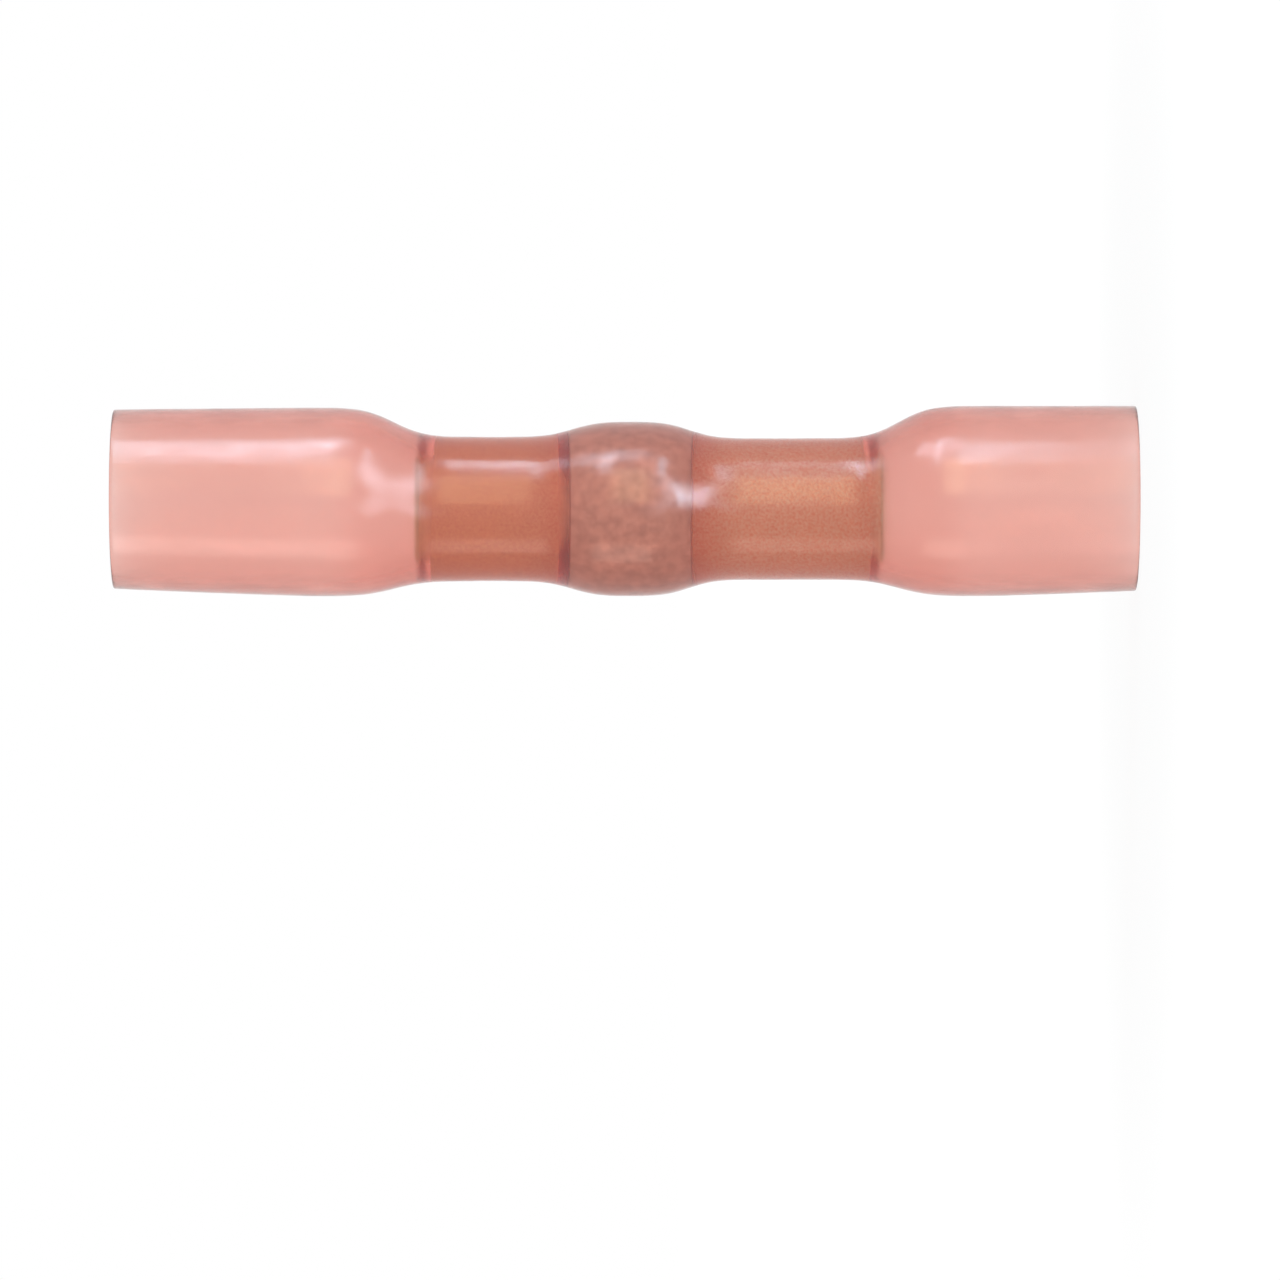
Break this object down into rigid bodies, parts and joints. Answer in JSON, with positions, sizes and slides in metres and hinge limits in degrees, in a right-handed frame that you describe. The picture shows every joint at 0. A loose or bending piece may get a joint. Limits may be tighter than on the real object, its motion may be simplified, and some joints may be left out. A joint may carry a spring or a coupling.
{
  "type": "butt connector",
  "caption": "Heat-shrink butt connector, standing on one end: a copper crimp barrel with a solder band, in a translucent red sleeve that is wide open at both ends for the wires.",
  "frame": {"origin": "on the surface the part stands on, under the middle of its width", "axes": "+Z up along the connector, from its right end as pictured, on which it stands, to its left end; the viewer on the -Y side, with +X up in the picture"},
  "size_m": [0.0071, 0.007, 0.038],
  "materials": {
    "red_polyolefin": "translucent heat-shrink tube, satin and slightly milky, pinkish red",
    "drawn_copper": "bare drawn copper, satin with fine lengthwise lines",
    "bright_solder": "bright solder, smooth and slightly uneven"
  },
  "bodies": {
    "root": {"heat_shrink_sleeve": "red_polyolefin", "crimp_barrel": "drawn_copper", "solder_ring": "bright_solder"}
  },
  "joints": []
}
